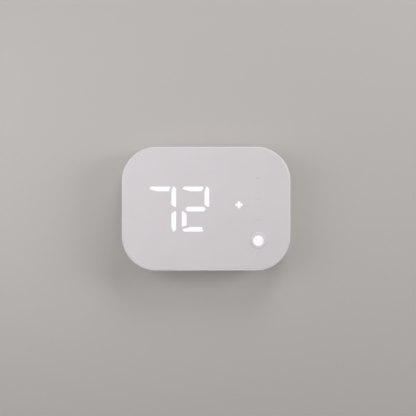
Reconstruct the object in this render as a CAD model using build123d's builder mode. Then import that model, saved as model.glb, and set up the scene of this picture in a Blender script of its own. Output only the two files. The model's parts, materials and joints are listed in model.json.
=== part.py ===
from build123d import *
import os
from math import hypot, radians, tan

# Wall thermostat: a flat unit with a lit seven-segment display, plugged onto a screwed wall plate.
# Millimetres. The wall is the plane Y = 0 and the room lies towards -Y. X runs to the right and
# Z runs up, as seen from the room. A depth is a distance from the wall.

# Body of the unit
BODY_WIDTH = 125.0
BODY_HEIGHT = 91.6
BODY_CORNER = 25.5
BODY_DEPTH = 21.4
FRONT_EDGE = 1.3
COVER_WALL = 1.8
FACE_THICKNESS = 1.6

# Rear housing: a tapered band behind the cover, with a recess that the wall plate nests in
PARTING_DEPTH = 7.0
WALL_GAP = 1.8
SEAM_STEP = 0.3
REAR_TAPER = 40.0
RIM_WIDTH = 6.6
RIM_THICKNESS = 1.6
RECESS_WALL = 1.5
FLOOR_THICKNESS = 1.4
TONGUE_WALL = 1.4
TONGUE_HEIGHT = 2.4
TONGUE_CLEARANCE = 0.15
VENT_COUNT = 11
VENT_PITCH = 5.0
VENT_WIDTH = 1.8
VENT_MARGIN = 0.7

# Wall plate
NEST_CLEARANCE = 0.5
PLATE_THICKNESS = 2.0
PLATE_RIB = 1.4
PLATE_RIB_HEIGHT = 1.6
WIRE_OPENING_WIDTH = 26.0
WIRE_OPENING_HEIGHT = 36.0
WIRE_OPENING_CORNER = 4.0
SCREW_SLOT_LENGTH = 8.0
SCREW_SLOT_WIDTH = 4.4
SCREW_PAD_MARGIN = 1.6
SCREW_PAD_HEIGHT = 1.0
CLIP_WIDTH = 8.0
CLIP_THICKNESS = 1.6
CLIP_HEIGHT = 4.4
CLIP_SPACING = 60.0
CLIP_BUMP = 0.35
CLIP_BUMP_RADIUS = 0.7

# Terminal blocks: push-in terminals whose wires come from the opening between the two blocks
TERMINALS_PER_SIDE = 4
TERMINAL_PITCH = 10.0
BLOCK_SETBACK = 2.5
BLOCK_HEIGHT = 5.5
BLOCK_END = 2.0
BLOCK_EDGE = 0.4
BLOCK_ROOF = 1.4
BLOCK_CLEARANCE = 0.5
PEG_RADIUS = 1.4
PEG_CLEARANCE = 0.05
PEG_SHORTFALL = 0.3
ENTRY_WALL = 2.0
ENTRY_SIZE = 2.4
ENTRY_SILL = 0.9
CAVITY_LENGTH = 7.0
CAVITY_WIDTH = 6.0
TERMINAL_OFFSET = 1.5
STRIP_THICKNESS = 0.4
STRIP_INSET = 0.3
FORK_LENGTH = 2.4
FORK_ROOF_GAP = 0.7
SPRING_THICKNESS = 0.3
SPRING_WIDTH = 2.4
SPRING_SEAT = 2.2
SPRING_END_GAP = 0.3
SPRING_TIP_GAP = 1.1

# Release levers, one for each terminal
POCKET_LENGTH = 8.0
POCKET_SILL = 1.0
LEVER_WIDTH = 6.0
LEVER_CLEARANCE = 0.2
LEVER_PIVOT_IN = 2.5
LEVER_SINK = 0.2
LEVER_PAD_HEIGHT = 2.0
LEVER_HEEL = 1.4
LEVER_TIP_GAP = 0.4
LEVER_TIP_THICKNESS = 1.2
LEVER_NOSE = 1.9
LEVER_NOSE_WIDTH = 1.3
LEVER_NOSE_GAP = 0.3
RIDGE_COUNT = 3
RIDGE_PITCH = 1.0
RIDGE_WIDTH = 0.5
RIDGE_HEIGHT = 0.25
TRUNNION_RADIUS = 1.0
TRUNNION_LENGTH = 0.9
TRUNNION_CLEARANCE = 0.05
TRUNNION_END_GAP = 0.3

# Jumper switch that joins or parts the two supply terminals
JUMPER_LENGTH = 16.0
JUMPER_WIDTH = 8.0
JUMPER_DROP = 1.0
JUMPER_ROOF = 0.9
JUMPER_TRAVEL = 4.0
SLIDER_LENGTH = 6.0
SLIDER_WIDTH = 4.6
SLIDER_CLEARANCE = 0.15
KNOB_LENGTH = 3.0
KNOB_WIDTH = 2.6
KNOB_HEIGHT = 0.8
JUMPER_STRIP_COUNT = 3
JUMPER_STRIP_WIDTH = 1.6

# Display: two seven-segment digits, a plus, a minus and three mode marks, all flush with the face
DISPLAY_FROM_LEFT = 20.05
DISPLAY_RISE = -0.4
DIGIT_PITCH = 24.5
DIGIT_WIDTH = 20.3
DIGIT_HEIGHT = 33.4
STROKE = 3.5
SEGMENT_GAP = 1.85
SEGMENT_LEAN = 1.3
SEGMENT_CUT = 6.4
SEGMENT_BEVEL = 2.4
SEGMENT_POINT = 1.2
SEGMENT_ROUND = 0.6
LEFT_DIGIT_LIT = "abc"
RIGHT_DIGIT_LIT = "abged"
PLUS_FROM_RIGHT = 38.1
PLUS_RISE = 2.8
PLUS_SIZE = 5.1
PLUS_ARM = 2.1
ROW_PITCH = 15.4
MARK_COUNT = 3
MARK_LENGTH = 4.4
MARK_WIDTH = 1.3

# Mode button below the marks: a ring cap round a lit lens
BUTTON_FROM_RIGHT = 23.8
BUTTON_FROM_BOTTOM = 22.1
BUTTON_RADIUS = 5.9
BUTTON_GAP = 0.1
BUTTON_PROUD = 0.4
BUTTON_EDGE = 0.35
BUTTON_TRAVEL = 0.5
FLANGE_WIDTH = 1.3
FLANGE_THICKNESS = 1.0
COLLAR_WALL = 1.2
COLLAR_LENGTH = 1.8
LENS_RADIUS = 3.85
LENS_FIT = 0.02
LENS_CROWN = 0.3
STEM_RADIUS = 1.0

# Film, reflectors, board and lights behind the face
MASK_THICKNESS = 0.2
REFLECTOR_DEPTH = 3.4
REFLECTOR_MARGIN = 2.2
WELL_RADIUS = 3.2
BOARD_THICKNESS = 1.6
BOARD_GAP = 4.7
SENSOR_TAB_WIDTH = 12.0
SENSOR_TAB_LENGTH = 3.6
SENSOR_SLIT = 1.0
LED_SIZE = 1.4
LED_HEIGHT = 0.7
SWITCH_SIZE = 3.2
SWITCH_HEIGHT = 1.2
PLUNGER_RADIUS = 0.8
PLUNGER_CLEARANCE = 0.05

# Screws inside the unit
CASE_SCREW_EDGE = 4.5
CASE_SCREW_RADIUS = 1.25
CASE_SCREW_BITE = 6.0
CASE_BOSS_RADIUS = 3.0
CASE_BOSS_GAP = 0.1
BOARD_SCREW_FROM_END = 15.8
BOARD_SCREW_EDGE = 4.5
BOARD_SCREW_RADIUS = 1.0
BOARD_SCREW_BITE = 2.6
BOARD_POST_RADIUS = 2.2
SCREW_FIT = 0.05
SCREW_HOLE_CLEARANCE = 0.3
HEAD_MARGIN = 1.0
HEAD_HEIGHT = 1.4
HEAD_ROUND = 0.45
HEAD_CROSS_WIDTH = 0.6
HEAD_CROSS_DEPTH = 0.7

# Pins and electronics on the back of the board
PIN_THICKNESS = 0.8
PIN_WIDTH = 1.8
PIN_CLEARANCE = 0.1
PIN_TIP_GAP = 0.6
PIN_SLOT_MARGIN = 0.6
HEADER_WIDTH = 4.0
HEADER_HEIGHT = 2.5
COMPONENT_CLEARANCE = 0.4
RELAY_COUNT = 3
RELAY_PITCH = 9.0
RELAY_WIDTH = 7.4
RELAY_LENGTH = 10.0
RELAY_EDGE = 0.5
RELAY_FROM_TOP = 12.3
CAPACITOR_LENGTH = 11.0
CAPACITOR_X = 7.0
CAPACITOR_ROUND = 0.5
INDUCTOR_SIZE = 8.0
INDUCTOR_ROUND = 1.6
INDUCTOR_X = -8.0
POWER_FROM_BOTTOM = 12.3
RADIO_SIZE = 14.0
RADIO_BASE = 0.8
RADIO_CAN_MARGIN = 1.0
RADIO_CAN_HEIGHT = 1.8
RADIO_FROM_EDGE = 14.0
RADIO_Z = 5.0
CHIP_HEIGHT = 1.0
CONTROL_CHIP_SIZE = 9.0
DRIVER_CHIP_SIZE = 6.0
DRIVER_CHIP_Z = 12.0
SENSOR_SIZE = 2.6
SENSOR_HEIGHT = 0.9

# Depths that follow from the sizes above
FACE_INNER = BODY_DEPTH - FACE_THICKNESS
MASK_BACK = FACE_INNER - MASK_THICKNESS
BOARD_FRONT = MASK_BACK - REFLECTOR_DEPTH
BOARD_BACK = BOARD_FRONT - BOARD_THICKNESS
BLOCK_TOP = PLATE_THICKNESS + BLOCK_HEIGHT
CAVITY_ROOF = BLOCK_TOP - BLOCK_ROOF
FLOOR_BACK = BLOCK_TOP + BLOCK_CLEARANCE
FLOOR_FRONT = FLOOR_BACK + FLOOR_THICKNESS
COMPONENT_HEIGHT = BOARD_BACK - FLOOR_FRONT - COMPONENT_CLEARANCE
STRIP_FRONT = PLATE_THICKNESS + STRIP_THICKNESS
PIN_TIP = STRIP_FRONT + PIN_TIP_GAP
FLANGE_BACK = FACE_INNER - FLANGE_THICKNESS
SWITCH_FRONT = BOARD_FRONT + SWITCH_HEIGHT
PLUNGER_FRONT = SWITCH_FRONT + BUTTON_TRAVEL + PLUNGER_CLEARANCE

# Outlines that follow from the sizes above
REAR_INSET = SEAM_STEP + (PARTING_DEPTH - WALL_GAP) * tan(radians(REAR_TAPER))
RECESS_INSET = REAR_INSET + RIM_WIDTH
PLATE_INSET = RECESS_INSET + NEST_CLEARANCE
TONGUE_INSET = COVER_WALL + TONGUE_CLEARANCE
HOLLOW_INSET = TONGUE_INSET + TONGUE_WALL
BOARD_INSET = COVER_WALL + BOARD_GAP
RECESS_HALF_HEIGHT = BODY_HEIGHT / 2 - RECESS_INSET
PLATE_HALF_WIDTH = BODY_WIDTH / 2 - PLATE_INSET
PLATE_HALF_HEIGHT = BODY_HEIGHT / 2 - PLATE_INSET
BOARD_HALF_WIDTH = BODY_WIDTH / 2 - BOARD_INSET
BOARD_HALF_HEIGHT = BODY_HEIGHT / 2 - BOARD_INSET

# Places on the wall plate that follow from the sizes above
BLOCK_WIDTH = ENTRY_WALL + CAVITY_LENGTH + POCKET_LENGTH
BLOCK_LENGTH = TERMINALS_PER_SIDE * TERMINAL_PITCH + 2 * BLOCK_END
BLOCK_INNER = WIRE_OPENING_WIDTH / 2 + BLOCK_SETBACK
BLOCK_OUTER = BLOCK_INNER + BLOCK_WIDTH
CAVITY_START = BLOCK_INNER + ENTRY_WALL
CAVITY_END = CAVITY_START + CAVITY_LENGTH
PEG_Z = BLOCK_LENGTH / 2 - BLOCK_END
PIN_X = (CAVITY_START + CAVITY_END) / 2
SCREW_SLOT_X = (BLOCK_OUTER + PLATE_HALF_WIDTH) / 2
JUMPER_Z = (WIRE_OPENING_HEIGHT / 2 + PLATE_HALF_HEIGHT - PLATE_RIB) / 2
TERMINAL_ZS = [
    (TERMINALS_PER_SIDE - 1 - 2 * row) * TERMINAL_PITCH / 2 for row in range(TERMINALS_PER_SIDE)
]
TERMINALS = [(side, z) for side in (-1, 1) for z in TERMINAL_ZS]
PIN_POINTS = [(side * PIN_X, z + TERMINAL_OFFSET) for side, z in TERMINALS]
PEG_POINTS = [(x, z) for x in (-PIN_X, PIN_X) for z in (-PEG_Z, PEG_Z)]
SCREW_SLOTS = [(-SCREW_SLOT_X, 0), (SCREW_SLOT_X, 0)]

# Places in the unit that follow from the sizes above
DIGIT_LEFT = DISPLAY_FROM_LEFT - BODY_WIDTH / 2
DIGIT_XS = (DIGIT_LEFT + DIGIT_WIDTH / 2, DIGIT_LEFT + DIGIT_WIDTH / 2 + DIGIT_PITCH)
PLUS_POINT = (BODY_WIDTH / 2 - PLUS_FROM_RIGHT, PLUS_RISE)
MINUS_POINT = (PLUS_POINT[0], PLUS_RISE - ROW_PITCH)
BUTTON_X = BODY_WIDTH / 2 - BUTTON_FROM_RIGHT
BUTTON_Z = BUTTON_FROM_BOTTOM - BODY_HEIGHT / 2
BUTTON_POINT = (BUTTON_X, BUTTON_Z)
MARK_POINTS = [(BUTTON_X, BUTTON_Z + ROW_PITCH * (row + 1)) for row in range(MARK_COUNT)]
FLANGE_RADIUS = BUTTON_RADIUS + FLANGE_WIDTH
COLLAR_RADIUS = FLANGE_RADIUS + BUTTON_GAP
CASE_SCREW_X = BUTTON_X - COLLAR_RADIUS - COLLAR_WALL - CASE_BOSS_GAP - CASE_BOSS_RADIUS
CASE_SCREW_Z = RECESS_HALF_HEIGHT - CASE_SCREW_EDGE
CASE_SCREWS = [(x, z) for x in (-CASE_SCREW_X, CASE_SCREW_X) for z in (-CASE_SCREW_Z, CASE_SCREW_Z)]
BOARD_SCREW_X = BOARD_HALF_WIDTH - BOARD_SCREW_EDGE
BOARD_SCREW_Z = BOARD_HALF_HEIGHT - BOARD_SCREW_FROM_END
BOARD_SCREWS = [(x, z) for x in (-BOARD_SCREW_X, BOARD_SCREW_X) for z in (-BOARD_SCREW_Z, BOARD_SCREW_Z)]
RELAY_Z = BOARD_HALF_HEIGHT - RELAY_FROM_TOP
POWER_ROW_Z = POWER_FROM_BOTTOM - BOARD_HALF_HEIGHT


def at(depth):
    """The plane parallel to the wall at this depth, with X to the right and Z up."""
    return Plane.XZ.offset(depth)


def across(side, z):
    """The level plane at this height: its x runs out from the middle, and its y is the depth."""
    return Plane(origin=(0, 0, z), x_dir=(side, 0, 0), z_dir=(0, 0, -side))


def body_outline(inset, mode=Mode.ADD):
    """The body's rounded outline, taken in by this much all round."""
    RectangleRounded(BODY_WIDTH - 2 * inset, BODY_HEIGHT - 2 * inset, BODY_CORNER - inset, mode=mode)


def span(x_from, x_to, y_from, y_to, mode=Mode.ADD):
    """A rectangle between two x values and two y values of the sketch."""
    with Locations(((x_from + x_to) / 2, (y_from + y_to) / 2)):
        Rectangle(x_to - x_from, y_to - y_from, mode=mode)


def save(builder, name):
    """Labels a finished piece and writes its file."""
    builder.part.label = name
    export_step(builder.part, f"parts/{name}.step")


def segment_outlines():
    """The seven segments about a digit's centre. The top, bottom and right-hand bars own the corners."""
    x, z, half = DIGIT_WIDTH / 2, DIGIT_HEIGHT / 2, STROKE / 2
    inner = x - STROKE
    middle = SEGMENT_GAP / 2
    tip = x - half - SEGMENT_GAP / 2
    left_end = z - half - SEGMENT_GAP
    upper = {
        "a": [
            (-x, z - half),
            (half - x, z),
            (inner - SEGMENT_GAP + SEGMENT_LEAN, z),
            (inner - SEGMENT_GAP, z - STROKE),
            (SEGMENT_CUT - x, z - STROKE),
        ],
        "b": [
            (inner, z - STROKE),
            (inner + SEGMENT_LEAN, z),
            (x - SEGMENT_LEAN, z),
            (x, z - half),
            (x, middle),
            (inner, middle + SEGMENT_BEVEL),
        ],
        "f": [
            (-x, middle),
            (-inner, middle + SEGMENT_BEVEL),
            (-inner, left_end - half * STROKE / SEGMENT_CUT),
            (-x, left_end),
        ],
    }
    lower = {low: [(px, -pz) for px, pz in upper[high]] for low, high in zip("dce", "abf")}
    right = [(tip - SEGMENT_POINT, half), (tip, 0), (tip - SEGMENT_POINT, -half)]
    return {**upper, **lower, "g": right + [(-px, -pz) for px, pz in right]}


SEGMENTS = segment_outlines()


def draw_segments(left, right):
    """The named segments of the two digits, with their corners rounded."""
    with BuildSketch() as segments:
        for digit_x, names in zip(DIGIT_XS, (left, right)):
            with Locations((digit_x, DISPLAY_RISE)):
                for name in names:
                    Polygon(*SEGMENTS[name], align=None)
        fillet(segments.vertices(), SEGMENT_ROUND)
    return segments


def unlit(lit):
    """The segments of a digit that these lit ones leave dark."""
    return "".join(name for name in SEGMENTS if name not in lit)


# Windows of the display: one outline serves for the hole in the face and for what fills it
lit_windows = draw_segments(LEFT_DIGIT_LIT, RIGHT_DIGIT_LIT)
dark_windows = draw_segments(unlit(LEFT_DIGIT_LIT), unlit(RIGHT_DIGIT_LIT))
with BuildSketch() as plus_window:
    with Locations(PLUS_POINT):
        Rectangle(PLUS_SIZE, PLUS_ARM)
        Rectangle(PLUS_ARM, PLUS_SIZE)
with BuildSketch() as icon_windows:
    with Locations(MINUS_POINT):
        Rectangle(PLUS_SIZE, PLUS_ARM)
    with Locations(*MARK_POINTS):
        SlotOverall(MARK_LENGTH, MARK_WIDTH)
WINDOWS = {
    "lit_segments": lit_windows.sketch,
    "dark_segments": dark_windows.sketch,
    "plus_icon": plus_window.sketch,
    "dark_icons": icon_windows.sketch,
}

os.makedirs("parts", exist_ok=True)

# Front cover: the face and the side walls in one shell, with bosses, posts and the button's collar
with BuildPart() as front_cover:
    with BuildSketch(at(PARTING_DEPTH)):
        body_outline(0)
    extrude(amount=BODY_DEPTH - PARTING_DEPTH)
    fillet(front_cover.faces().sort_by(Axis.Y)[0].edges(), FRONT_EDGE)
    with BuildSketch(at(PARTING_DEPTH)):
        body_outline(COVER_WALL)
    extrude(amount=FACE_INNER - PARTING_DEPTH, mode=Mode.SUBTRACT)
    with BuildSketch(at(FLOOR_FRONT)):
        with Locations(*CASE_SCREWS):
            Circle(CASE_BOSS_RADIUS)
    extrude(amount=FACE_INNER - FLOOR_FRONT)
    with BuildSketch(at(BOARD_FRONT)):
        with Locations(*BOARD_SCREWS):
            Circle(BOARD_POST_RADIUS)
    extrude(amount=FACE_INNER - BOARD_FRONT)
    with BuildSketch(at(FACE_INNER - COLLAR_LENGTH)):
        with Locations(BUTTON_POINT):
            Circle(COLLAR_RADIUS + COLLAR_WALL)
            Circle(COLLAR_RADIUS, mode=Mode.SUBTRACT)
    extrude(amount=COLLAR_LENGTH)
    with BuildSketch(at(FLOOR_FRONT)):
        with Locations(*CASE_SCREWS):
            Circle(CASE_SCREW_RADIUS + SCREW_FIT)
    extrude(amount=CASE_SCREW_BITE + SCREW_FIT, mode=Mode.SUBTRACT)
    with BuildSketch(at(BOARD_FRONT)):
        with Locations(*BOARD_SCREWS):
            Circle(BOARD_SCREW_RADIUS + SCREW_FIT)
    extrude(amount=BOARD_SCREW_BITE + SCREW_FIT, mode=Mode.SUBTRACT)
    with BuildSketch(at(FACE_INNER)):
        for window in WINDOWS.values():
            add(window)
        with Locations(BUTTON_POINT):
            Circle(BUTTON_RADIUS + BUTTON_GAP)
    extrude(amount=FACE_THICKNESS, mode=Mode.SUBTRACT)
save(front_cover, "front_cover")

# Display windows that fill the holes in the face
for name, window in WINDOWS.items():
    with BuildPart() as filling:
        with BuildSketch(at(FACE_INNER)):
            add(window)
        extrude(amount=FACE_THICKNESS)
    save(filling, name)


def digits_outline():
    """The part of the display that holds the digits, the plus and the minus, with a margin round it."""
    span(
        DIGIT_LEFT - REFLECTOR_MARGIN,
        PLUS_POINT[0] + WELL_RADIUS + REFLECTOR_MARGIN,
        DISPLAY_RISE - DIGIT_HEIGHT / 2 - REFLECTOR_MARGIN,
        DISPLAY_RISE + DIGIT_HEIGHT / 2 + REFLECTOR_MARGIN,
    )


def marks_outline():
    """The part of the display that holds the mode marks, with a margin round it."""
    span(
        BUTTON_X - MARK_LENGTH / 2 - REFLECTOR_MARGIN,
        BUTTON_X + MARK_LENGTH / 2 + REFLECTOR_MARGIN,
        MARK_POINTS[0][1] - MARK_WIDTH / 2 - REFLECTOR_MARGIN,
        MARK_POINTS[-1][1] + MARK_WIDTH / 2 + REFLECTOR_MARGIN,
    )


# Mask films between the face and the reflectors, open behind each window
with BuildPart() as display_mask:
    with BuildSketch(at(MASK_BACK)):
        digits_outline()
        marks_outline()
        for window in WINDOWS.values():
            add(window, mode=Mode.SUBTRACT)
    extrude(amount=MASK_THICKNESS)
save(display_mask, "display_mask")

# Segment reflector: a block with one light chamber behind each segment, the plus and the minus
with BuildPart() as segment_reflector:
    with BuildSketch(at(BOARD_FRONT)):
        digits_outline()
        add(lit_windows.sketch, mode=Mode.SUBTRACT)
        add(dark_windows.sketch, mode=Mode.SUBTRACT)
        with Locations(PLUS_POINT, MINUS_POINT):
            Circle(WELL_RADIUS, mode=Mode.SUBTRACT)
    extrude(amount=REFLECTOR_DEPTH)
save(segment_reflector, "segment_reflector")

# Mark reflector: a narrow block with one light well behind each mode mark
with BuildPart() as mark_reflector:
    with BuildSketch(at(BOARD_FRONT)):
        marks_outline()
        with Locations(*MARK_POINTS):
            SlotOverall(MARK_LENGTH, MARK_WIDTH + LED_SIZE, mode=Mode.SUBTRACT)
    extrude(amount=REFLECTOR_DEPTH)
save(mark_reflector, "mark_reflector")

# Main board, with a sensor tab at its lower edge that two slits keep apart from the board's heat
with BuildPart() as main_board:
    with BuildSketch(at(BOARD_BACK)):
        body_outline(BOARD_INSET)
        span(-SENSOR_TAB_WIDTH / 2, SENSOR_TAB_WIDTH / 2, -BOARD_HALF_HEIGHT - SENSOR_TAB_LENGTH, 0)
        with Locations((0, SENSOR_TAB_LENGTH / 2 - BOARD_HALF_HEIGHT)):
            with GridLocations(SENSOR_TAB_WIDTH, 0, 2, 1):
                Rectangle(SENSOR_SLIT, SENSOR_TAB_LENGTH, mode=Mode.SUBTRACT)
        with Locations(*CASE_SCREWS):
            Circle(CASE_BOSS_RADIUS + SCREW_HOLE_CLEARANCE, mode=Mode.SUBTRACT)
        with Locations(*BOARD_SCREWS):
            Circle(BOARD_SCREW_RADIUS + SCREW_HOLE_CLEARANCE, mode=Mode.SUBTRACT)
    extrude(amount=BOARD_THICKNESS)
save(main_board, "main_board")


def middle_of(outline):
    """The middle of an outline's box."""
    xs, zs = zip(*outline)
    return (min(xs) + max(xs)) / 2, (min(zs) + max(zs)) / 2


# Lights: one behind each segment, each icon and mark, and two beside the button's switch
MIDDLES = [middle_of(outline) for outline in SEGMENTS.values()]
LED_POINTS = {
    "segment_leds": [(digit_x + x, DISPLAY_RISE + z) for digit_x in DIGIT_XS for x, z in MIDDLES],
    "icon_leds": [
        PLUS_POINT,
        MINUS_POINT,
        *MARK_POINTS,
        (BUTTON_X - SWITCH_SIZE / 2 - LED_SIZE, BUTTON_Z),
        (BUTTON_X + SWITCH_SIZE / 2 + LED_SIZE, BUTTON_Z),
    ],
}
for name, points in LED_POINTS.items():
    with BuildPart() as leds:
        with BuildSketch(at(BOARD_FRONT)):
            with Locations(*points):
                Rectangle(LED_SIZE, LED_SIZE)
        extrude(amount=LED_HEIGHT)
    save(leds, name)

# Mode button: a ring cap whose flange rests behind the face
with BuildPart() as mode_button:
    with BuildSketch(at(FLANGE_BACK)):
        with Locations(BUTTON_POINT):
            Circle(FLANGE_RADIUS)
    extrude(amount=FLANGE_THICKNESS)
    with BuildSketch(at(FACE_INNER)):
        with Locations(BUTTON_POINT):
            Circle(BUTTON_RADIUS)
    extrude(amount=FACE_THICKNESS + BUTTON_PROUD)
    fillet(mode_button.faces().sort_by(Axis.Y)[0].edges(), BUTTON_EDGE)
    with BuildSketch(at(FLANGE_BACK)):
        with Locations(BUTTON_POINT):
            Circle(LENS_RADIUS + LENS_FIT)
    extrude(amount=BODY_DEPTH + BUTTON_PROUD - FLANGE_BACK, mode=Mode.SUBTRACT)
save(mode_button, "mode_button")

# Button lens: the lit disc in the cap, slightly crowned, with a stem that presses the switch
LENS_FRONT = BODY_DEPTH + BUTTON_PROUD
LENS_RIM = LENS_FRONT - LENS_CROWN
CROWN_RADIUS = (LENS_RADIUS**2 + LENS_CROWN**2) / (2 * LENS_CROWN)
with BuildPart() as button_lens:
    with BuildSketch(Plane(origin=(BUTTON_X, 0, BUTTON_Z), x_dir=(1, 0, 0), z_dir=(0, 0, -1))):
        with BuildLine():
            Polyline(
                (0, LENS_FRONT),
                (0, PLUNGER_FRONT),
                (STEM_RADIUS, PLUNGER_FRONT),
                (STEM_RADIUS, FLANGE_BACK),
                (LENS_RADIUS, FLANGE_BACK),
                (LENS_RADIUS, LENS_RIM),
            )
            RadiusArc((0, LENS_FRONT), (LENS_RADIUS, LENS_RIM), CROWN_RADIUS)
        make_face()
    revolve(axis=Axis((BUTTON_X, 0, BUTTON_Z), (0, 1, 0)))
save(button_lens, "button_lens")

# Push switch under the lens: a body on the board, and a plunger that travels with the button
with BuildPart() as switch_body:
    with BuildSketch(at(BOARD_FRONT)):
        with Locations(BUTTON_POINT):
            Rectangle(SWITCH_SIZE, SWITCH_SIZE)
    extrude(amount=SWITCH_HEIGHT)
    with BuildSketch(at(SWITCH_FRONT)):
        with Locations(BUTTON_POINT):
            Circle(PLUNGER_RADIUS + PLUNGER_CLEARANCE)
    extrude(amount=-(BUTTON_TRAVEL + 2 * PLUNGER_CLEARANCE), mode=Mode.SUBTRACT)
save(switch_body, "switch_body")

with BuildPart() as switch_plunger:
    with BuildSketch(at(SWITCH_FRONT - PLUNGER_CLEARANCE)):
        with Locations(BUTTON_POINT):
            Circle(PLUNGER_RADIUS)
    extrude(amount=PLUNGER_FRONT - SWITCH_FRONT + PLUNGER_CLEARANCE)
save(switch_plunger, "switch_plunger")

# Rear housing: the tapered band, the tongue inside the cover, and the recess for the wall plate
VENT_FROM = WALL_GAP + RIM_THICKNESS + VENT_MARGIN
VENT_TO = PARTING_DEPTH - VENT_MARGIN
VENT_START = RECESS_HALF_HEIGHT + RECESS_WALL + VENT_MARGIN
with BuildPart() as rear_housing:
    with BuildSketch(at(PARTING_DEPTH)):
        body_outline(SEAM_STEP)
    extrude(amount=WALL_GAP - PARTING_DEPTH, taper=REAR_TAPER)
    with BuildSketch(at(PARTING_DEPTH)):
        body_outline(TONGUE_INSET)
    extrude(amount=TONGUE_HEIGHT)
    with BuildSketch(at(PARTING_DEPTH)):
        body_outline(HOLLOW_INSET)
    extrude(amount=TONGUE_HEIGHT, mode=Mode.SUBTRACT)
    with BuildSketch(at(PARTING_DEPTH)):
        body_outline(HOLLOW_INSET)
    extrude(amount=WALL_GAP + RIM_THICKNESS - PARTING_DEPTH, taper=REAR_TAPER, mode=Mode.SUBTRACT)
    with BuildSketch(at(WALL_GAP)):
        body_outline(RECESS_INSET - RECESS_WALL)
    extrude(amount=FLOOR_FRONT - WALL_GAP)
    with BuildSketch(at(WALL_GAP)):
        body_outline(RECESS_INSET)
    extrude(amount=FLOOR_BACK - WALL_GAP, mode=Mode.SUBTRACT)
    with BuildSketch(at(FLOOR_BACK)):
        with Locations(*CASE_SCREWS):
            Circle(CASE_SCREW_RADIUS + SCREW_HOLE_CLEARANCE)
        with Locations(*PIN_POINTS):
            Rectangle(PIN_THICKNESS + 2 * PIN_SLOT_MARGIN, PIN_WIDTH + 2 * PIN_SLOT_MARGIN)
    extrude(amount=FLOOR_THICKNESS, mode=Mode.SUBTRACT)
    for side in (-1, 1):
        with BuildSketch(Plane.XY.offset(side * VENT_START)):
            with Locations((0, -(VENT_FROM + VENT_TO) / 2)):
                with GridLocations(VENT_PITCH, 0, VENT_COUNT, 1):
                    Rectangle(VENT_WIDTH, VENT_TO - VENT_FROM)
        extrude(amount=side * RECESS_INSET, mode=Mode.SUBTRACT)
save(rear_housing, "rear_housing")


def make_screws(points, seat, radius, length):
    """Pan-head screws: the heads sit on the wall side of the seat, and the shanks point to the room."""
    with BuildPart() as screws:
        with BuildSketch(at(seat)):
            with Locations(*points):
                Circle(radius + HEAD_MARGIN)
        extrude(amount=-HEAD_HEIGHT)
        fillet(screws.edges().group_by(Axis.Y)[-1], HEAD_ROUND)
        with BuildSketch(at(seat)):
            with Locations(*points):
                Circle(radius)
        extrude(amount=length)
        with BuildSketch(at(seat - HEAD_HEIGHT)):
            with Locations(*points):
                Rectangle(2 * radius, HEAD_CROSS_WIDTH)
                Rectangle(HEAD_CROSS_WIDTH, 2 * radius)
        extrude(amount=HEAD_CROSS_DEPTH, mode=Mode.SUBTRACT)
    return screws


# Screws: four hold the rear housing to the cover, and four hold the board to the cover's posts
case_screws = make_screws(
    CASE_SCREWS, FLOOR_BACK, CASE_SCREW_RADIUS, FLOOR_THICKNESS + CASE_SCREW_BITE
)
save(case_screws, "case_screws")
board_screws = make_screws(
    BOARD_SCREWS, BOARD_BACK, BOARD_SCREW_RADIUS, BOARD_THICKNESS + BOARD_SCREW_BITE
)
save(board_screws, "board_screws")

# Pin headers, and the blade pins that plug into the wall plate's terminals
with BuildPart() as pin_headers:
    with BuildSketch(at(BOARD_BACK)):
        with Locations((-PIN_X, TERMINAL_OFFSET), (PIN_X, TERMINAL_OFFSET)):
            Rectangle(HEADER_WIDTH, TERMINALS_PER_SIDE * TERMINAL_PITCH)
        with Locations(*PIN_POINTS):
            Rectangle(PIN_THICKNESS, PIN_WIDTH, mode=Mode.SUBTRACT)
    extrude(amount=-HEADER_HEIGHT)
save(pin_headers, "pin_headers")

with BuildPart() as contact_pins:
    with BuildSketch(at(BOARD_BACK)):
        with Locations(*PIN_POINTS):
            Rectangle(PIN_THICKNESS, PIN_WIDTH)
    extrude(amount=PIN_TIP - BOARD_BACK)
save(contact_pins, "contact_pins")

# Relays that switch the heating and cooling circuits
with BuildPart() as relays:
    with BuildSketch(at(BOARD_BACK)):
        with Locations((0, RELAY_Z)):
            with GridLocations(RELAY_PITCH, 0, RELAY_COUNT, 1):
                Rectangle(RELAY_WIDTH, RELAY_LENGTH)
    extrude(amount=-COMPONENT_HEIGHT)
    chamfer(relays.edges().group_by(Axis.Y)[-1], RELAY_EDGE)
save(relays, "relays")

# Power supply: a capacitor that lies on its side, and an inductor
CAPACITOR_RADIUS = COMPONENT_HEIGHT / 2
with BuildPart() as capacitor:
    with BuildSketch(Plane.YZ.offset(CAPACITOR_X - CAPACITOR_LENGTH / 2)):
        with Locations((CAPACITOR_RADIUS - BOARD_BACK, POWER_ROW_Z)):
            Circle(CAPACITOR_RADIUS)
    extrude(amount=CAPACITOR_LENGTH)
    fillet(capacitor.edges().group_by(Axis.X)[-1], CAPACITOR_ROUND)
save(capacitor, "capacitor")

with BuildPart() as inductor:
    with BuildSketch(at(BOARD_BACK)):
        with Locations((INDUCTOR_X, POWER_ROW_Z)):
            RectangleRounded(INDUCTOR_SIZE, INDUCTOR_SIZE, INDUCTOR_ROUND)
    extrude(amount=-COMPONENT_HEIGHT)
save(inductor, "inductor")

# Radio: a small carrier board and its shielding can
RADIO_POINT = (BOARD_HALF_WIDTH - RADIO_FROM_EDGE, RADIO_Z)
RADIO_CAN_SIZE = RADIO_SIZE - 2 * RADIO_CAN_MARGIN
with BuildPart() as radio_module:
    with BuildSketch(at(BOARD_BACK)):
        with Locations(RADIO_POINT):
            Rectangle(RADIO_SIZE, RADIO_SIZE)
    extrude(amount=-RADIO_BASE)
save(radio_module, "radio_module")

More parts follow.
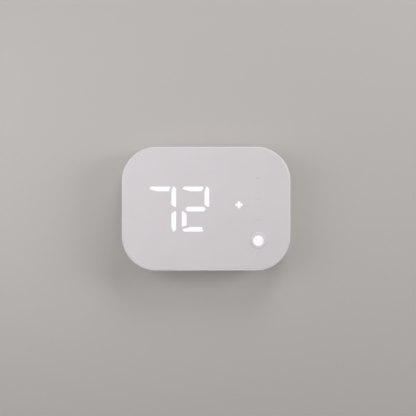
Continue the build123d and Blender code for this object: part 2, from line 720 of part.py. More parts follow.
with BuildPart() as radio_shield:
    with BuildSketch(at(BOARD_BACK - RADIO_BASE)):
        with Locations(RADIO_POINT):
            Rectangle(RADIO_CAN_SIZE, RADIO_CAN_SIZE)
    extrude(amount=-RADIO_CAN_HEIGHT)
save(radio_shield, "radio_shield")

# Control chip between two driver chips, and the temperature sensor on its tab
with BuildPart() as control_chips:
    with BuildSketch(at(BOARD_BACK)):
        Rectangle(CONTROL_CHIP_SIZE, CONTROL_CHIP_SIZE)
        with Locations((0, DRIVER_CHIP_Z), (0, -DRIVER_CHIP_Z)):
            Rectangle(DRIVER_CHIP_SIZE, DRIVER_CHIP_SIZE)
    extrude(amount=-CHIP_HEIGHT)
save(control_chips, "control_chips")

with BuildPart() as temperature_sensor:
    with BuildSketch(at(BOARD_BACK)):
        with Locations((0, -BOARD_HALF_HEIGHT - SENSOR_TAB_LENGTH / 2)):
            Rectangle(SENSOR_SIZE, SENSOR_SIZE)
    extrude(amount=-SENSOR_HEIGHT)
save(temperature_sensor, "temperature_sensor")

# Wall plate: a ribbed plate with the wire opening, two screw slots and four friction clips
with BuildPart() as wall_plate:
    with BuildSketch(at(0)):
        body_outline(PLATE_INSET)
    extrude(amount=PLATE_THICKNESS)
    with BuildSketch(at(PLATE_THICKNESS)):
        body_outline(PLATE_INSET)
        body_outline(PLATE_INSET + PLATE_RIB, mode=Mode.SUBTRACT)
    extrude(amount=PLATE_RIB_HEIGHT)
    with BuildSketch(at(PLATE_THICKNESS)):
        with Locations(*SCREW_SLOTS):
            SlotOverall(
                SCREW_SLOT_LENGTH + 2 * SCREW_PAD_MARGIN, SCREW_SLOT_WIDTH + 2 * SCREW_PAD_MARGIN
            )
    extrude(amount=SCREW_PAD_HEIGHT)
    with BuildSketch(at(PLATE_THICKNESS)):
        with GridLocations(CLIP_SPACING, 2 * PLATE_HALF_HEIGHT - CLIP_THICKNESS, 2, 2):
            Rectangle(CLIP_WIDTH, CLIP_THICKNESS)
    extrude(amount=CLIP_HEIGHT)
    for clip_x in (-CLIP_SPACING / 2, CLIP_SPACING / 2):
        with BuildSketch(Plane.YZ.offset(clip_x)):
            with Locations((CLIP_BUMP_RADIUS - PLATE_THICKNESS - CLIP_HEIGHT, 0)):
                with GridLocations(0, 2 * (PLATE_HALF_HEIGHT + CLIP_BUMP - CLIP_BUMP_RADIUS), 1, 2):
                    Circle(CLIP_BUMP_RADIUS)
        extrude(amount=CLIP_WIDTH / 2, both=True)
    with BuildSketch(at(0)):
        RectangleRounded(WIRE_OPENING_WIDTH, WIRE_OPENING_HEIGHT, WIRE_OPENING_CORNER)
        with Locations(*SCREW_SLOTS):
            SlotOverall(SCREW_SLOT_LENGTH, SCREW_SLOT_WIDTH)
        with Locations(*PEG_POINTS):
            Circle(PEG_RADIUS + PEG_CLEARANCE)
    extrude(amount=PLATE_THICKNESS + SCREW_PAD_HEIGHT, mode=Mode.SUBTRACT)
save(wall_plate, "wall_plate")

# Where the parts of a terminal lie, in its own level plane
POCKET_WIDTH = LEVER_WIDTH + 2 * LEVER_CLEARANCE
POCKET_BACK = PLATE_THICKNESS + POCKET_SILL
PIVOT_X = CAVITY_END + LEVER_PIVOT_IN
LEVER_TOP = BLOCK_TOP - LEVER_SINK
LEVER_TIP = BLOCK_OUTER - LEVER_TIP_GAP
PIVOT_DEPTH = LEVER_TOP - LEVER_PAD_HEIGHT


def make_terminal_block(side):
    """The block on one side: its pegs, and for each terminal a cavity, a wire entry and a pocket."""
    with BuildPart() as block:
        with BuildSketch(at(PLATE_THICKNESS)):
            with Locations((side * (BLOCK_INNER + BLOCK_OUTER) / 2, 0)):
                Rectangle(BLOCK_WIDTH, BLOCK_LENGTH)
        extrude(amount=BLOCK_HEIGHT)
        chamfer(block.edges().group_by(Axis.Y)[0], BLOCK_EDGE)
        with BuildSketch(at(PLATE_THICKNESS)):
            with Locations((side * PIN_X, -PEG_Z), (side * PIN_X, PEG_Z)):
                Circle(PEG_RADIUS)
        extrude(amount=PEG_SHORTFALL - PLATE_THICKNESS)
        for z in TERMINAL_ZS:
            with BuildSketch(across(side, z)):
                span(CAVITY_START, CAVITY_END, PLATE_THICKNESS, CAVITY_ROOF)
            extrude(amount=CAVITY_WIDTH / 2, both=True, mode=Mode.SUBTRACT)
            with BuildSketch(across(side, z)):
                span(CAVITY_END, BLOCK_OUTER, POCKET_BACK, BLOCK_TOP)
            extrude(amount=POCKET_WIDTH / 2, both=True, mode=Mode.SUBTRACT)
            with BuildSketch(across(side, z)):
                with Locations((PIVOT_X, PIVOT_DEPTH)):
                    Circle(TRUNNION_RADIUS + TRUNNION_CLEARANCE)
            extrude(
                amount=POCKET_WIDTH / 2 + TRUNNION_LENGTH + TRUNNION_END_GAP,
                both=True,
                mode=Mode.SUBTRACT,
            )
            with BuildSketch(across(side, z - TERMINAL_OFFSET)):
                entry_back = PLATE_THICKNESS + ENTRY_SILL
                span(BLOCK_INNER, CAVITY_START, entry_back, entry_back + ENTRY_SIZE)
            extrude(amount=ENTRY_SIZE / 2, both=True, mode=Mode.SUBTRACT)
        with BuildSketch(at(CAVITY_ROOF)):
            with Locations(*[(side * PIN_X, z + TERMINAL_OFFSET) for z in TERMINAL_ZS]):
                Rectangle(PIN_THICKNESS + 2 * PIN_SLOT_MARGIN, PIN_WIDTH + 2 * PIN_SLOT_MARGIN)
        extrude(amount=BLOCK_ROOF, mode=Mode.SUBTRACT)
    return block


# Terminal blocks, pegged to the wall plate on each side of the wire opening
for side, place in ((-1, "left"), (1, "right")):
    save(make_terminal_block(side), f"terminal_block_{place}")

# Terminal contacts: a strip under each wire, with a fork that takes the unit's pin
FORK_OFFSET = PIN_THICKNESS + 2 * PIN_CLEARANCE + STRIP_THICKNESS
with BuildPart() as terminal_contacts:
    with BuildSketch(at(PLATE_THICKNESS)):
        with Locations(*[(side * PIN_X, z) for side, z in TERMINALS]):
            Rectangle(CAVITY_LENGTH - 2 * STRIP_INSET, CAVITY_WIDTH - 2 * STRIP_INSET)
    extrude(amount=STRIP_THICKNESS)
    with BuildSketch(at(STRIP_FRONT)):
        with Locations(*PIN_POINTS):
            with GridLocations(FORK_OFFSET, 0, 2, 1):
                Rectangle(STRIP_THICKNESS, FORK_LENGTH)
    extrude(amount=CAVITY_ROOF - FORK_ROOF_GAP - STRIP_FRONT)
save(terminal_contacts, "terminal_contacts")

# Terminal springs: a leaf that seats under the cavity's roof and slopes down over the wire
LEAF_START = CAVITY_START + SPRING_SEAT
LEAF_END = CAVITY_END - SPRING_END_GAP
LEAF_FALL = CAVITY_ROOF - STRIP_FRONT - SPRING_TIP_GAP
LEAF_SLOPE = LEAF_FALL / (LEAF_END - LEAF_START)
LEAF_DROP = SPRING_THICKNESS * hypot(1, LEAF_SLOPE)
with BuildPart() as terminal_springs:
    for side, z in TERMINALS:
        with BuildSketch(across(side, z - TERMINAL_OFFSET)):
            Polygon(
                (CAVITY_START, CAVITY_ROOF),
                (LEAF_START, CAVITY_ROOF),
                (LEAF_END, CAVITY_ROOF - LEAF_FALL),
                (LEAF_END, CAVITY_ROOF - LEAF_FALL - LEAF_DROP),
                (LEAF_START - (LEAF_DROP - SPRING_THICKNESS) / LEAF_SLOPE, CAVITY_ROOF - SPRING_THICKNESS),
                (CAVITY_START, CAVITY_ROOF - SPRING_THICKNESS),
                align=None,
            )
        extrude(amount=SPRING_WIDTH / 2, both=True)
save(terminal_springs, "terminal_springs")


def make_lever(side, z):
    """A release lever: a ridged pad outside its trunnions, and a nose that reaches for the spring."""
    nose_back = POCKET_BACK + LEVER_NOSE_GAP
    with BuildPart() as lever:
        with BuildSketch(across(side, z)):
            Polygon(
                (PIVOT_X - LEVER_HEEL, LEVER_TOP),
                (LEVER_TIP, LEVER_TOP),
                (LEVER_TIP, LEVER_TOP - LEVER_TIP_THICKNESS),
                (PIVOT_X + TRUNNION_RADIUS, PIVOT_DEPTH),
                (PIVOT_X - LEVER_NOSE + LEVER_NOSE_WIDTH, nose_back),
                (PIVOT_X - LEVER_NOSE, nose_back),
                (PIVOT_X - LEVER_NOSE, PIVOT_DEPTH),
                align=None,
            )
            for ridge in range(RIDGE_COUNT):
                ridge_end = LEVER_TIP - ridge * RIDGE_PITCH
                span(ridge_end - RIDGE_WIDTH, ridge_end, LEVER_TOP, LEVER_TOP + RIDGE_HEIGHT)
        extrude(amount=LEVER_WIDTH / 2, both=True)
        with BuildSketch(across(side, z)):
            with Locations((PIVOT_X, PIVOT_DEPTH)):
                Circle(TRUNNION_RADIUS)
        extrude(amount=LEVER_WIDTH / 2 + TRUNNION_LENGTH, both=True)
    return lever


# Release levers, numbered down the left block and then down the right block
for number, (side, z) in enumerate(TERMINALS, start=1):
    save(make_lever(side, z), f"terminal_lever_{number}")

# Jumper switch: a housing over three contact strips, and a slider that bridges two of them
JUMPER_TOP = BLOCK_TOP - JUMPER_DROP
JUMPER_CEILING = JUMPER_TOP - JUMPER_ROOF
JUMPER_PLAY = JUMPER_TRAVEL + 2 * SLIDER_CLEARANCE
with BuildPart() as jumper_housing:
    with BuildSketch(at(PLATE_THICKNESS)):
        with Locations((0, JUMPER_Z)):
            Rectangle(JUMPER_LENGTH, JUMPER_WIDTH)
    extrude(amount=JUMPER_TOP - PLATE_THICKNESS)
    chamfer(jumper_housing.edges().group_by(Axis.Y)[0], BLOCK_EDGE)
    with BuildSketch(at(PLATE_THICKNESS)):
        with Locations((0, JUMPER_Z)):
            Rectangle(SLIDER_LENGTH + JUMPER_PLAY, SLIDER_WIDTH + 2 * SLIDER_CLEARANCE)
    extrude(amount=JUMPER_CEILING - PLATE_THICKNESS, mode=Mode.SUBTRACT)
    with BuildSketch(at(JUMPER_CEILING)):
        with Locations((0, JUMPER_Z)):
            Rectangle(KNOB_LENGTH + JUMPER_PLAY, KNOB_WIDTH + 2 * SLIDER_CLEARANCE)
    extrude(amount=JUMPER_ROOF, mode=Mode.SUBTRACT)
save(jumper_housing, "jumper_housing")

with BuildPart() as jumper_contacts:
    with BuildSketch(at(PLATE_THICKNESS)):
        with Locations((0, JUMPER_Z)):
            with GridLocations(JUMPER_TRAVEL, 0, JUMPER_STRIP_COUNT, 1):
                Rectangle(JUMPER_STRIP_WIDTH, SLIDER_WIDTH)
    extrude(amount=STRIP_THICKNESS)
save(jumper_contacts, "jumper_contacts")

with BuildPart() as jumper_slider:
    with BuildSketch(at(STRIP_FRONT + SLIDER_CLEARANCE)):
        with Locations((-JUMPER_TRAVEL / 2, JUMPER_Z)):
            Rectangle(SLIDER_LENGTH, SLIDER_WIDTH)
    extrude(amount=JUMPER_CEILING - STRIP_FRONT - 2 * SLIDER_CLEARANCE)
    with BuildSketch(at(JUMPER_CEILING - SLIDER_CLEARANCE)):
        with Locations((-JUMPER_TRAVEL / 2, JUMPER_Z)):
            Rectangle(KNOB_LENGTH, KNOB_WIDTH)
    extrude(amount=SLIDER_CLEARANCE + JUMPER_ROOF + KNOB_HEIGHT)
save(jumper_slider, "jumper_slider")
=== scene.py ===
import json

import bmesh
import bpy
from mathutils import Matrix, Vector


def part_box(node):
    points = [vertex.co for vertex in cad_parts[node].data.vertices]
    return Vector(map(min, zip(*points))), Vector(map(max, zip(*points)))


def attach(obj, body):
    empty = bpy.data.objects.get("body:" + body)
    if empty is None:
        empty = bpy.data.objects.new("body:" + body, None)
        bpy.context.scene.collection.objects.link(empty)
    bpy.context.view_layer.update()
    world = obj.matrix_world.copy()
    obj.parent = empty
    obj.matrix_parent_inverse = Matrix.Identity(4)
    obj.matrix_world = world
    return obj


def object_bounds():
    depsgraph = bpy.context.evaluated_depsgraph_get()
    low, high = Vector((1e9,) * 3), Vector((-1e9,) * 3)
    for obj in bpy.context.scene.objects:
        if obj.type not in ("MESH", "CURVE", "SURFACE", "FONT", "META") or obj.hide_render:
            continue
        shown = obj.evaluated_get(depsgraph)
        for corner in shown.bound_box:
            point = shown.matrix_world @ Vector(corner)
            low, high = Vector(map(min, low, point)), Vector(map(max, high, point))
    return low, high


# Looks of a wall thermostat: moulded white plastic, a lit display, and the wall plate behind the unit.
# Metres. The wall is the plane Y = 0, the room lies towards -Y, X runs to the right and Z runs up.
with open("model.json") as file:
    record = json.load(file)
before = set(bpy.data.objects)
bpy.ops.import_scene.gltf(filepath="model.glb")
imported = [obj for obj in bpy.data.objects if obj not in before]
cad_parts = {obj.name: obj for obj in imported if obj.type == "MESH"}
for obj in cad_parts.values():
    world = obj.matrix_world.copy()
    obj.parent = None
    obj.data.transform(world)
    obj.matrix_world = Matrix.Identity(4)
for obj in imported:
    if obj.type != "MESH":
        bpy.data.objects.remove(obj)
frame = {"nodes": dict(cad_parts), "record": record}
cad_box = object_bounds()
RECORD = frame["record"]
COLOURS = {material["slot"]: material["base_color"] for material in RECORD["materials"]}
MM = 0.001
MICRON = 0.001 * MM
WHITE = (1.0, 1.0, 1.0)
BLACK = (0.0, 0.0, 0.0)

# Camera: it looks straight at the face, and these pixels are the edges of the unit in the picture
PICTURE = 416
UNIT_LEFT, UNIT_RIGHT = 121.6, 290.45
UNIT_TOP, UNIT_BOTTOM = 146.7, 270.45
CAMERA_DISTANCE = 1.0
SENSOR_MM = 36.0
VIEW_DIRECTION = (0.0, 1.0, 0.0)

# Stage: a plain wall just behind the plate, and a pale floor below the picture
STAGE_SIZE = 40.0
STAGE_ROUGHNESS = 0.9
STAGE_SHINE = 0.1
WALL_CLEARANCE = 0.2 * MM
WALL_COLOUR = (0.49, 0.468, 0.454)
WALL_GLOW = 0.0
FLOOR_DROP = 0.4
FLOOR_COLOUR = (0.40, 0.395, 0.39)
FLOOR_GLOW = 0.62

# World: the strength of its light, and of the backdrop that shows
AMBIENT = 0.30
BACKDROP = 0.86

# Lamps: place, size, power in watts. The edge lamps stand behind the wall, which gives no shadow, so they
# light the sides of the part and not the front of the wall.
LAMPS = {
    "front_softbox": ((-0.09, -0.42, 0.05), 0.35, 0.29),
    "left_softbox": ((-0.30, -0.27, 0.06), 0.25, 0.48),
    "right_softbox": ((0.80, -0.42, 0.20), 0.35, 3.2),
    "high_softbox": ((0.25, -0.45, 0.75), 0.40, 2.9),
    "left_edge_lamp": ((-0.80, 0.08, 0.10), 0.15, 1.2),
    "low_edge_lamp": ((0.0, 0.08, -0.70), 0.15, 2.4),
    "rear_softbox": ((0.35, 1.10, 0.25), 1.00, 9.0),
}
LAMP_TARGET = (0.0, 0.0, 0.0)

# Patterns: a scale is about the count of features for each metre, a detail is the count of finer layers,
# stops are the values where a ramp of colours starts and ends, and a change is a share of the colour.

# Plastic: fine grain, soft waves, flow marks and edges that look slightly round
GRAIN_SCALE = 2600.0
WAVE_SCALE = 90.0
WAVE_DETAIL = 1.0
WAVE_TO_GRAIN_DEPTH = 4
FLOW_SCALE = 45.0
FLOW_DETAIL = 4.0
FLOW_DISTORTION = 0.6
FLOW_STOPS = (0.25, 0.75)
FLOW_CHANGE = 0.018
FLOW_GLOSS = 0.05
EDGE_ROUND = 0.22 * MM
EDGE_SAMPLES = 6
FACE_ROUGHNESS = 0.42
FACE_GRAIN = 4 * MICRON

# Marks that the mould's ejector pins leave on the back of the wall plate
EJECTOR_RADIUS = 1.7 * MM
EJECTOR_STEP = 0.15 * MM
EJECTOR_DEPTH = 0.15 * MM
EJECTOR_SPACING_X = 38 * MM
EJECTOR_SPACING_Z = 27 * MM

# Lit windows
LIT_BODY = (0.42, 0.41, 0.42)
LIT_ROUGHNESS = 0.35
LIT_COLOUR = (1.0, 0.97, 1.0)
LIT_STRENGTH = 0.58
DIFFUSER_SCALE = 700.0
DIFFUSER_STOPS = (0.3, 0.7)
DIFFUSER_CHANGE = 0.04

# The unlit minus lies below the plus, and the faint marks lie further than this to the right of its middle
MARK_DISTANCE = 6 * MM

# Painted light: a glow on the button's sides below the face, by depth below the face, which lightens the
# shade in the gap round the button
GAP_GLOW_STRENGTH = 0.5
GAP_GLOW_START = 0.1 * MM
GAP_GLOW_FULL = 0.4 * MM

# Metal: brush lines and stains
BRUSH_SCALE = 1800.0
BRUSH_DETAIL = 2.0
BRUSH_DEPTH = 3 * MICRON
BRUSH_SMOOTHER = 0.08
BRUSH_ROUGHER = 0.1
STAIN_SCALE = 160.0
STAIN_DETAIL = 4.0
STAIN_STOPS = (0.3, 0.7)

# Circuit board: the tracks are rings round the middle of square cells
TRACK_CELL_SCALE = 110.0
TRACK_RINGS = 7.0
TRACK_STOPS = (0.52, 0.58)
TRACK_CHANGE = 0.6
TRACK_DEPTH = 10 * MICRON
MASK_SCALE = 300.0
MASK_SMOOTHEST = 0.25
MASK_ROUGHEST = 0.38

# Speckled bodies
SPECK_DETAIL = 5.0
SPECK_STOPS = (0.35, 0.65)
SPECK_GLOSS = 0.1
SPECK_DEPTH = 8 * MICRON

# Terminal numbers and the arrow on the wall plate
TERMINAL_COUNT = 8
NUMBER_HEIGHT = 2.7 * MM
NUMBER_RELIEF = 0.06 * MM
NUMBER_INSET = 2.1 * MM
ARROW_SIZE = 2.2 * MM
ARROW_RELIEF = 0.35 * MM
ARROW_GAP = 0.6 * MM


def add_node(tree, kind, inputs=None, **settings):
    """A shader node. Each input is a plain value or the socket that feeds it."""
    made = tree.nodes.new(kind)
    for name, value in settings.items():
        setattr(made, name, value)
    for name, value in (inputs or {}).items():
        if isinstance(value, bpy.types.NodeSocket):
            tree.links.new(value, made.inputs[name])
        else:
            made.inputs[name].default_value = value
    return made


def calculate(tree, operation, *values):
    """The result of a sum on plain values or sockets."""
    return add_node(tree, "ShaderNodeMath", dict(enumerate(values)), operation=operation).outputs[0]


def calculate_vector(tree, operation, output, *values):
    """One output of a sum on vectors."""
    made = add_node(tree, "ShaderNodeVectorMath", dict(enumerate(values)), operation=operation)
    return made.outputs[output]


def place_in(tree):
    """The place of each point in the frame."""
    return add_node(tree, "ShaderNodeTexCoord").outputs["Object"]


def coordinate(tree, axis):
    """The X, Y or Z of each point in the frame."""
    return add_node(tree, "ShaderNodeSeparateXYZ", {"Vector": place_in(tree)}).outputs[axis]


def noise(tree, place, scale, detail=3.0, distortion=0.0):
    """A noise value from 0 to 1."""
    inputs = {"Vector": place, "Scale": scale, "Detail": detail, "Distortion": distortion}
    return add_node(tree, "ShaderNodeTexNoise", inputs).outputs["Fac"]


def spread(tree, value, low, high):
    """A value from 0 to 1, stretched to run from low to high."""
    inputs = {"Value": value, "To Min": low, "To Max": high}
    return add_node(tree, "ShaderNodeMapRange", inputs).outputs["Result"]


def way_along(tree, value, start, end):
    """How far a value has come on its way from start to end, from 0 to 1."""
    inputs = {"Value": value, "From Min": start, "From Max": end}
    return add_node(tree, "ShaderNodeMapRange", inputs).outputs["Result"]


def ramp(tree, value, colours, stops=(0.0, 1.0)):
    """A blend of two colours, the first up to the first stop and the second from the second stop on."""
    made = add_node(tree, "ShaderNodeValToRGB", {"Fac": value})
    for element, stop, colour in zip(made.color_ramp.elements, stops, colours):
        element.position = stop
        element.color = (*colour, 1.0)
    return made.outputs["Color"]


def bump(tree, height, depth, normal=None):
    """A normal bent by a height from 0 to 1, where 1 stands this far up."""
    inputs = {"Height": height, "Distance": depth}
    if normal is not None:
        inputs["Normal"] = normal
    return add_node(tree, "ShaderNodeBump", inputs).outputs["Normal"]


def lighter(colour, share):
    """A colour with this share of light added or, below zero, taken away."""
    return tuple(min(1.0, channel * (1 + share)) for channel in colour)


def start_material(name):
    """A new material, its tree and its shader."""
    material = bpy.data.materials.new(name)
    material.use_nodes = True
    tree = material.node_tree
    return material, tree, tree.nodes["Principled BSDF"]


def feed_surface(tree, shader, colour, roughness, normal):
    """Links the sockets that give a surface its colour, roughness and normal."""
    tree.links.new(colour, shader.inputs["Base Color"])
    tree.links.new(roughness, shader.inputs["Roughness"])
    tree.links.new(normal, shader.inputs["Normal"])


def give_light(tree, shader, colour, strength):
    """Makes a surface give light of this colour."""
    tree.links.new(colour, shader.inputs["Emission Color"])
    shader.inputs["Emission Strength"].default_value = strength


def ejector_marks(tree, place, points):
    """A height from 0 to 1 that dips in a round mark at each point."""
    nearest = None
    for point in points:
        distance = calculate_vector(tree, "DISTANCE", "Value", place, point)
        nearest = distance if nearest is None else calculate(tree, "MINIMUM", nearest, distance)
    return way_along(tree, nearest, EJECTOR_RADIUS - EJECTOR_STEP, EJECTOR_RADIUS + EJECTOR_STEP)


def moulded(slot, roughness, grain_depth, rounded=True, ejectors=()):
    """Moulded plastic: fine grain, soft waves, uneven gloss and faint flow marks in the colour."""
    material, tree, shader = start_material(slot)
    place = place_in(tree)
    flow = noise(tree, place, FLOW_SCALE, FLOW_DETAIL, FLOW_DISTORTION)
    colours = (lighter(COLOURS[slot], -FLOW_CHANGE), lighter(COLOURS[slot], FLOW_CHANGE))
    normal = None
    if rounded:
        inputs = {"Radius": EDGE_ROUND}
        normal = add_node(tree, "ShaderNodeBevel", inputs, samples=EDGE_SAMPLES).outputs["Normal"]
    if ejectors:
        normal = bump(tree, ejector_marks(tree, place, ejectors), EJECTOR_DEPTH, normal)
    wave_height = noise(tree, place, WAVE_SCALE, WAVE_DETAIL)
    waves = bump(tree, wave_height, WAVE_TO_GRAIN_DEPTH * grain_depth, normal)
    feed_surface(
        tree,
        shader,
        colour=ramp(tree, flow, colours, FLOW_STOPS),
        roughness=spread(tree, flow, roughness - FLOW_GLOSS, roughness + FLOW_GLOSS),
        normal=bump(tree, noise(tree, place, GRAIN_SCALE), grain_depth, waves),
    )
    return material


def lit_window():
    """Translucent plastic lit from behind, with the diffuser's grain in the light."""
    material, tree, shader = start_material("lit_window")
    shader.inputs["Base Color"].default_value = (*LIT_BODY, 1.0)
    shader.inputs["Roughness"].default_value = LIT_ROUGHNESS
    grain = noise(tree, place_in(tree), DIFFUSER_SCALE)
    colours = (lighter(LIT_COLOUR, -DIFFUSER_CHANGE), LIT_COLOUR)
    give_light(tree, shader, ramp(tree, grain, colours, DIFFUSER_STOPS), LIT_STRENGTH)
    return material


def faint_marks(beyond):
    """The face's plastic, a touch darker for the marks that lie beyond this x."""
    material = moulded("faint_mark", FACE_ROUGHNESS, FACE_GRAIN, rounded=False)
    tree = material.node_tree
    on_mark = calculate(tree, "GREATER_THAN", coordinate(tree, "X"), beyond)
    tint = ramp(tree, on_mark, (COLOURS["white_shell"], COLOURS["faint_mark"]))
    tree.links.new(tint, tree.nodes["Principled BSDF"].inputs["Base Color"])
    return material


def backlit_button(face):
    """The button's plastic, with a painted glow below the face that lightens the shade in the gap round
    it.
    """
    material = moulded("white_button", roughness=0.36, grain_depth=3 * MICRON, rounded=False)
    tree = material.node_tree
    inside = way_along(tree, coordinate(tree, "Y"), face + GAP_GLOW_START, face + GAP_GLOW_FULL)
    # Painted light: the sides below the face glow, so the gap round the button shows less shade
    painted_gap_glow = ramp(tree, inside, (BLACK, LIT_COLOUR))
    give_light(tree, tree.nodes["Principled BSDF"], painted_gap_glow, GAP_GLOW_STRENGTH)
    return material


def metal(slot, roughness, brush=(1.0, 1.0, 1.0), stain=0.12):
    """Metal with fine brush lines along the axis where brush is smallest, and a slight stain."""
    material, tree, shader = start_material(slot)
    shader.inputs["Metallic"].default_value = 1.0
    place = place_in(tree)
    drawn_out = calculate_vector(tree, "MULTIPLY", "Vector", place, brush)
    lines = noise(tree, drawn_out, BRUSH_SCALE, BRUSH_DETAIL)
    stains = noise(tree, place, STAIN_SCALE, STAIN_DETAIL)
    colours = (lighter(COLOURS[slot], -stain), lighter(COLOURS[slot], stain / 2))
    feed_surface(
        tree,
        shader,
        colour=ramp(tree, stains, colours, STAIN_STOPS),
        roughness=spread(tree, lines, roughness - BRUSH_SMOOTHER, roughness + BRUSH_ROUGHER),
        normal=bump(tree, lines, BRUSH_DEPTH),
    )
    return material


def circuit_board():
    """Green solder mask over square-cornered copper tracks."""
    material, tree, shader = start_material("circuit_board")
    place = place_in(tree)
    inputs = {"Vector": place, "Scale": TRACK_CELL_SCALE}
    cells = add_node(tree, "ShaderNodeTexVoronoi", inputs, distance="CHEBYCHEV").outputs["Distance"]
    tracks = calculate(tree, "FRACT", calculate(tree, "MULTIPLY", cells, TRACK_RINGS))
    colours = (COLOURS["circuit_board"], lighter(COLOURS["circuit_board"], TRACK_CHANGE))
    feed_surface(
        tree,
        shader,
        colour=ramp(tree, tracks, colours, TRACK_STOPS),
        roughness=spread(tree, noise(tree, place, MASK_SCALE), MASK_SMOOTHEST, MASK_ROUGHEST),
        normal=bump(tree, tracks, TRACK_DEPTH),
    )
    return material


def speckled(slot, roughness, scale, change):
    """A hard body with speckles in its colour and its gloss, such as ferrite or epoxy."""
    material, tree, shader = start_material(slot)
    specks = noise(tree, place_in(tree), scale, SPECK_DETAIL)
    colours = (lighter(COLOURS[slot], -change), lighter(COLOURS[slot], change))
    feed_surface(
        tree,
        shader,
        colour=ramp(tree, specks, colours, SPECK_STOPS),
        roughness=spread(tree, specks, roughness - SPECK_GLOSS, roughness + SPECK_GLOSS),
        normal=bump(tree, specks, SPECK_DEPTH),
    )
    return material


def middle_x(node):
    """The x of the middle of a node's box."""
    low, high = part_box(node)
    return (low.x + high.x) / 2


def ejector_points(node, depth):
    """Six ejector marks in two rows about the middle of a node, on the face at this depth."""
    low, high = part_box(node)
    centre = (low + high) / 2
    return [
        (centre.x + column * EJECTOR_SPACING_X, depth, centre.z + row * EJECTOR_SPACING_Z)
        for column in (-1, 0, 1)
        for row in (-1, 1)
    ]


# One material for each slot of the record
plate_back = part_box("wall_plate")[1].y
MATERIALS = {
    "white_shell": moulded("white_shell", FACE_ROUGHNESS, FACE_GRAIN, rounded=False),
    "faint_mark": faint_marks(beyond=middle_x("plus_icon") + MARK_DISTANCE),
    "lit_window": lit_window(),
    "white_button": backlit_button(face=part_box("front_cover")[0].y),
    "rear_shell": moulded("rear_shell", roughness=0.52, grain_depth=9 * MICRON),
    "plate_shell": moulded(
        "plate_shell",
        roughness=0.5,
        grain_depth=9 * MICRON,
        ejectors=ejector_points("wall_plate", plate_back),
    ),
    "black_film": speckled("black_film", roughness=0.5, scale=900.0, change=0.2),
    "reflector": moulded("reflector", roughness=0.3, grain_depth=3 * MICRON),
    "circuit_board": circuit_board(),
    "led_package": speckled("led_package", roughness=0.35, scale=1500.0, change=0.08),
    "black_plastic": moulded("black_plastic", roughness=0.45, grain_depth=6 * MICRON),
    "screw_steel": metal("screw_steel", roughness=0.3),
    "pin_metal": metal("pin_metal", roughness=0.28, brush=(1.0, 0.08, 1.0)),
    "relay_case": moulded("relay_case", roughness=0.34, grain_depth=4 * MICRON),
    "capacitor_sleeve": moulded("capacitor_sleeve", roughness=0.3, grain_depth=3 * MICRON),
    "ferrite": speckled("ferrite", roughness=0.6, scale=1400.0, change=0.25),
    "shield_metal": metal("shield_metal", roughness=0.34, brush=(0.06, 1.0, 1.0)),
    "chip_package": speckled("chip_package", roughness=0.55, scale=2500.0, change=0.2),
    "terminal_body": moulded("terminal_body", roughness=0.48, grain_depth=8 * MICRON),
    "contact_brass": metal("contact_brass", roughness=0.3, brush=(0.08, 1.0, 1.0), stain=0.2),
    "spring_steel": metal("spring_steel", roughness=0.3, brush=(0.08, 1.0, 1.0)),
    "slider_plastic": moulded("slider_plastic", roughness=0.42, grain_depth=6 * MICRON),
    "lever_plastic": moulded("lever_plastic", roughness=0.38, grain_depth=5 * MICRON),
}
for subpart in RECORD["subparts"]:
    slots = frame["nodes"][subpart["node"]].data.materials
    slots.clear()
    slots.append(MATERIALS[subpart["material_slot"]])


def add_object(name, data):
    """A new object in the scene."""
    made = bpy.data.objects.new(name, data)
    bpy.context.scene.collection.objects.link(made)
    return made


def add_piece(name, mesh, body, slot):
    """A new piece that rides on a body and wears a slot's material."""
    mesh.materials.append(MATERIALS[slot])
    piece = add_object(name, mesh)
    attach(piece, body)


def number_mesh(text, x, front, z):
    """A raised number that faces the room, centred on x and z."""
    curve = bpy.data.curves.new(f"number_{text}", "FONT")
    curve.body = text
    curve.size = NUMBER_HEIGHT
    curve.extrude = NUMBER_RELIEF
    curve.align_x = "CENTER"
    curve.align_y = "CENTER"
    writer = add_object(f"number_writer_{text}", curve)
    bpy.context.view_layer.update()
    written = writer.evaluated_get(bpy.context.evaluated_depsgraph_get())
    mesh = bpy.data.meshes.new_from_object(written)
    bpy.data.objects.remove(writer)
    for vertex in mesh.vertices:
        across, up, out = vertex.co
        vertex.co = (x + across, front - out, z + up)
    return mesh


def arrow_mesh(x, front, z):
    """A raised triangle that points up, with its base at this height."""
    mesh = bpy.data.meshes.new("up_arrow")
    shape = bmesh.new()
    corners = ((-ARROW_SIZE / 2, 0), (ARROW_SIZE / 2, 0), (0, ARROW_SIZE))
    face = shape.faces.new([shape.verts.new((x + across, front, z + up)) for across, up in corners])
    raised = bmesh.ops.extrude_face_region(shape, geom=[face])["geom"]
    moved = [part for part in raised if isinstance(part, bmesh.types.BMVert)]
    bmesh.ops.translate(shape, verts=moved, vec=(0, -ARROW_RELIEF, 0))
    bmesh.ops.recalc_face_normals(shape, faces=shape.faces)
    shape.to_mesh(mesh)
    shape.free()
    return mesh


# Terminal numbers on the blocks, in the same order as the levers
for number in range(1, TERMINAL_COUNT + 1):
    lever_low, lever_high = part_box(f"terminal_lever_{number}")
    on_left = lever_high.x < 0
    block_low, block_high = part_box("terminal_block_left" if on_left else "terminal_block_right")
    number_x = block_high.x - NUMBER_INSET if on_left else block_low.x + NUMBER_INSET
    lever_z = (lever_low.z + lever_high.z) / 2
    mesh = number_mesh(str(number), number_x, block_low.y, lever_z)
    add_piece(f"terminal_number_{number}", mesh, "wall_plate", "black_plastic")

# Arrow that shows which way up the plate goes, above the jumper and on the face where the contacts stand
arrow_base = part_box("jumper_housing")[1].z + ARROW_GAP
plate_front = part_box("terminal_contacts")[1].y
add_piece("up_arrow", arrow_mesh(0.0, plate_front, arrow_base), "wall_plate", "plate_shell")


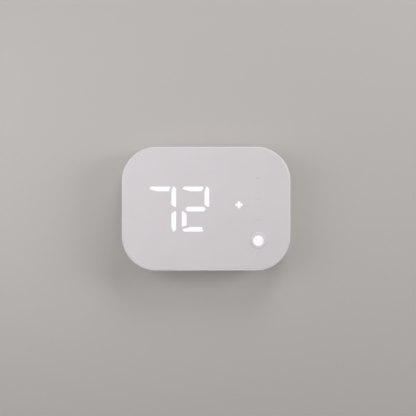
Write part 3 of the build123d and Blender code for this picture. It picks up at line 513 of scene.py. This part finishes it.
def stage_material(name, colour, glow):
    """Matt paint that shows on its front side only, with a glow that only the camera sees."""
    material, tree, shader = start_material(name)
    shader.inputs["Base Color"].default_value = (*colour, 1.0)
    shader.inputs["Roughness"].default_value = STAGE_ROUGHNESS
    shader.inputs["Specular IOR Level"].default_value = STAGE_SHINE
    shader.inputs["Emission Color"].default_value = (*WHITE, 1.0)
    in_view = add_node(tree, "ShaderNodeLightPath").outputs["Is Camera Ray"]
    tree.links.new(spread(tree, in_view, 0.0, glow), shader.inputs["Emission Strength"])
    behind = add_node(tree, "ShaderNodeNewGeometry").outputs["Backfacing"]
    clear = add_node(tree, "ShaderNodeBsdfTransparent").outputs[0]
    mixed = add_node(tree, "ShaderNodeMixShader", {0: behind, 1: shader.outputs[0], 2: clear}).outputs[0]
    tree.links.new(mixed, tree.nodes["Material Output"].inputs["Surface"])
    return material


def stage_plane(name, colour, glow, corners):
    """A flat stage that takes shadows and gives none, so that it can't shade the back of the part."""
    mesh = bpy.data.meshes.new(name)
    mesh.from_pydata(corners, [], [range(len(corners))])
    mesh.materials.append(stage_material(name, colour, glow))
    plane = add_object(name, mesh)
    plane.visible_shadow = False
    plane.visible_diffuse = False
    plane.visible_glossy = False


# Wall and floor
half = STAGE_SIZE / 2
square = ((-half, -half), (half, -half), (half, half), (-half, half))
wall_y = cad_box[1].y + WALL_CLEARANCE
floor_z = cad_box[0].z - FLOOR_DROP
stage_plane("wall", WALL_COLOUR, WALL_GLOW, [(x, wall_y, z) for x, z in square])
stage_plane("floor", FLOOR_COLOUR, FLOOR_GLOW, [(x, y, floor_z) for x, y in square])


def aim(thing, direction):
    """Turns a lamp or a camera, which both look along their own -Z, to look this way."""
    thing.rotation_euler = Vector(direction).to_track_quat("-Z", "Y").to_euler()


# Lamps, all aimed at the origin, which lies in the middle of the part's back
for name, (place, size, power) in LAMPS.items():
    lamp = bpy.data.lights.new(name, "AREA")
    lamp.size = size
    lamp.energy = power
    holder = add_object(name, lamp)
    holder.location = place
    aim(holder, Vector(LAMP_TARGET) - Vector(place))

# World: soft light all round, and a pale backdrop where the camera and shiny metal look
world = bpy.data.worlds.new("studio")
bpy.context.scene.world = world
world.use_nodes = True
sky = world.node_tree
path = add_node(sky, "ShaderNodeLightPath").outputs
seen_or_mirrored = calculate(sky, "ADD", path["Is Camera Ray"], path["Is Glossy Ray"])
shows = calculate(sky, "ADD", seen_or_mirrored, path["Is Transmission Ray"])
light = sky.nodes["Background"]
light.inputs["Color"].default_value = (*WHITE, 1.0)
light.inputs["Strength"].default_value = AMBIENT
backdrop = add_node(sky, "ShaderNodeBackground", {"Color": (*WHITE, 1.0), "Strength": BACKDROP})
both = add_node(sky, "ShaderNodeMixShader", {0: shows, 1: light.outputs[0], 2: backdrop.outputs[0]})
sky.links.new(both.outputs[0], sky.nodes["World Output"].inputs["Surface"])

# Camera: a pixel's size on the face gives the lens, and the unit's middle in the picture gives the place
cover_low, cover_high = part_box("front_cover")
pixel = (cover_high.x - cover_low.x) / (UNIT_RIGHT - UNIT_LEFT)
camera_data = bpy.data.cameras.new("camera")
camera_data.sensor_width = SENSOR_MM
camera_data.lens = SENSOR_MM * CAMERA_DISTANCE / (PICTURE * pixel)
camera = add_object("camera", camera_data)
camera.location = (
    (cover_low.x + cover_high.x) / 2 + (PICTURE - UNIT_LEFT - UNIT_RIGHT) / 2 * pixel,
    cover_low.y - CAMERA_DISTANCE,
    (cover_low.z + cover_high.z) / 2 - (PICTURE - UNIT_TOP - UNIT_BOTTOM) / 2 * pixel,
)
aim(camera, VIEW_DIRECTION)
bpy.context.scene.camera = camera
bpy.context.scene.view_settings.view_transform = "Standard"
